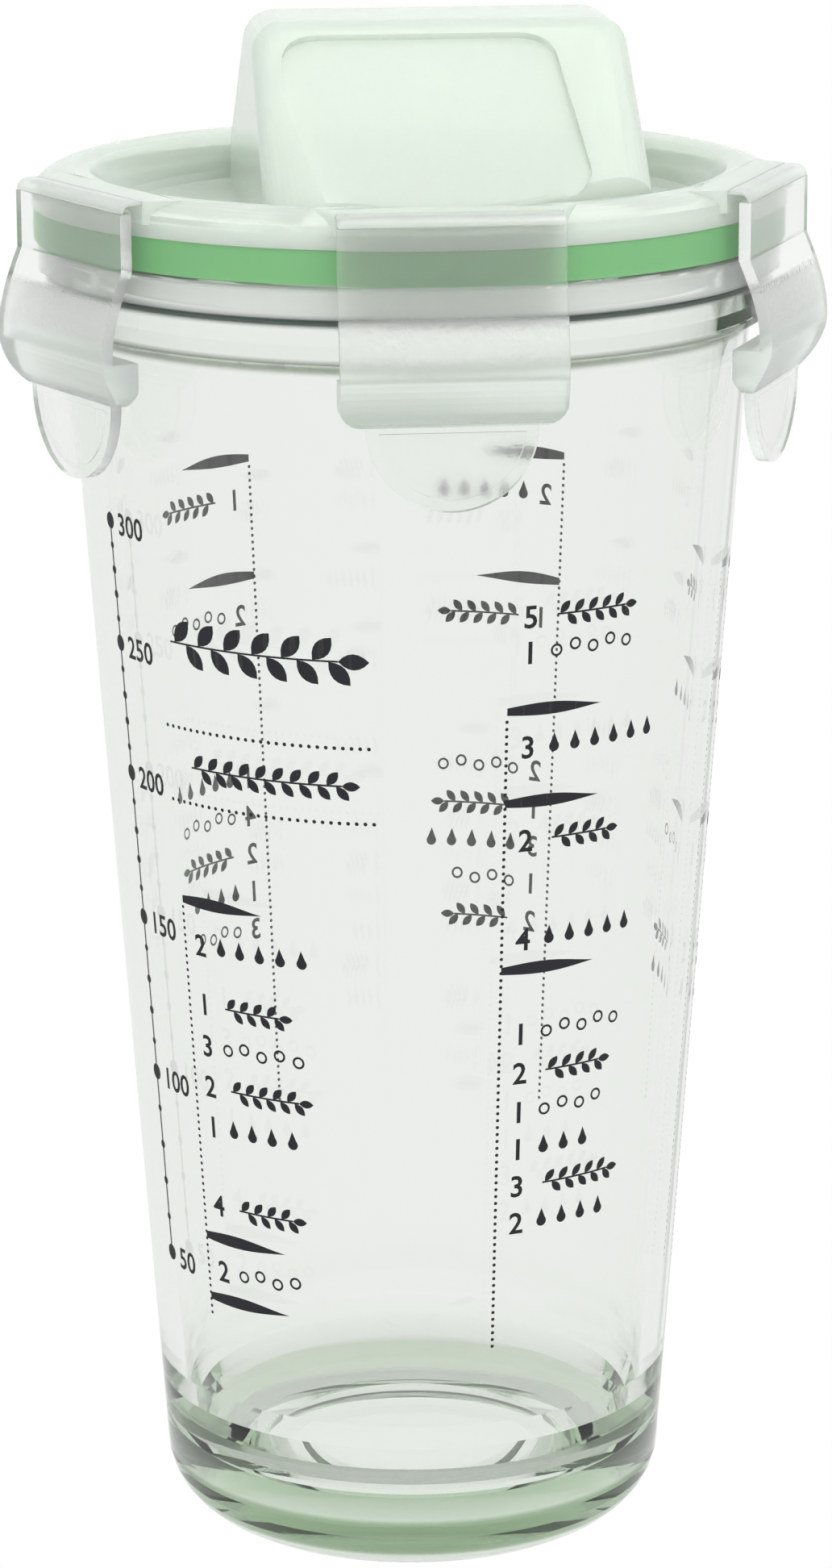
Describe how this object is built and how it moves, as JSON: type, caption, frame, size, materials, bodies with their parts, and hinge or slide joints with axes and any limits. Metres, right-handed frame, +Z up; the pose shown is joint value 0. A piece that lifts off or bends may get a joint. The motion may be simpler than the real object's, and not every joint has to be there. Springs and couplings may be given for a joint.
{
  "type": "salad dressing shaker bottle",
  "caption": "Tapered glass dressing shaker with a measuring scale, a green gasket and a translucent lid that snaps shut with four hinged flaps.",
  "frame": {"origin": "middle of the base, on the table", "axes": "+Z up along the axis of the bottle; -Y towards the front flap; +X towards the right flap"},
  "size_m": [0.092, 0.0904, 0.1734],
  "materials": {
    "glass": "clear",
    "lid_plastic": "translucent satin",
    "gasket": "satin"
  },
  "bodies": {
    "glass": {"glass_body": "glass"},
    "lid": {"lid": "lid_plastic", "gasket": "gasket", "film_front": "lid_plastic", "film_right": "lid_plastic", "film_back": "lid_plastic", "film_left": "lid_plastic"},
    "flap_front": {"flap_front": "lid_plastic"},
    "flap_right": {"flap_right": "lid_plastic"},
    "flap_back": {"flap_back": "lid_plastic"},
    "flap_left": {"flap_left": "lid_plastic"}
  },
  "joints": [
    {"name": "lid_lift", "type": "slide", "parent": "glass", "child": "lid", "axis": [0, 0, 1], "range_m": [0, 0.06]},
    {"name": "flap_front_hinge", "type": "hinge", "parent": "lid", "child": "flap_front", "pos_m": [0, -0.0415, 0.1557], "axis": [-1, 0, 0], "range_deg": [0, 150], "deforming": ["film_front"]},
    {"name": "flap_right_hinge", "type": "hinge", "parent": "lid", "child": "flap_right", "pos_m": [0.03761, -0.01754, 0.1557], "axis": [-0.4226, -0.9063, 0], "range_deg": [0, 150], "deforming": ["film_right"]},
    {"name": "flap_back_hinge", "type": "hinge", "parent": "lid", "child": "flap_back", "pos_m": [0, 0.0415, 0.1557], "axis": [1, 0, 0], "range_deg": [0, 150], "deforming": ["film_back"]},
    {"name": "flap_left_hinge", "type": "hinge", "parent": "lid", "child": "flap_left", "pos_m": [-0.03761, -0.01754, 0.1557], "axis": [-0.4226, 0.9063, 0], "range_deg": [0, 150], "deforming": ["film_left"]}
  ]
}
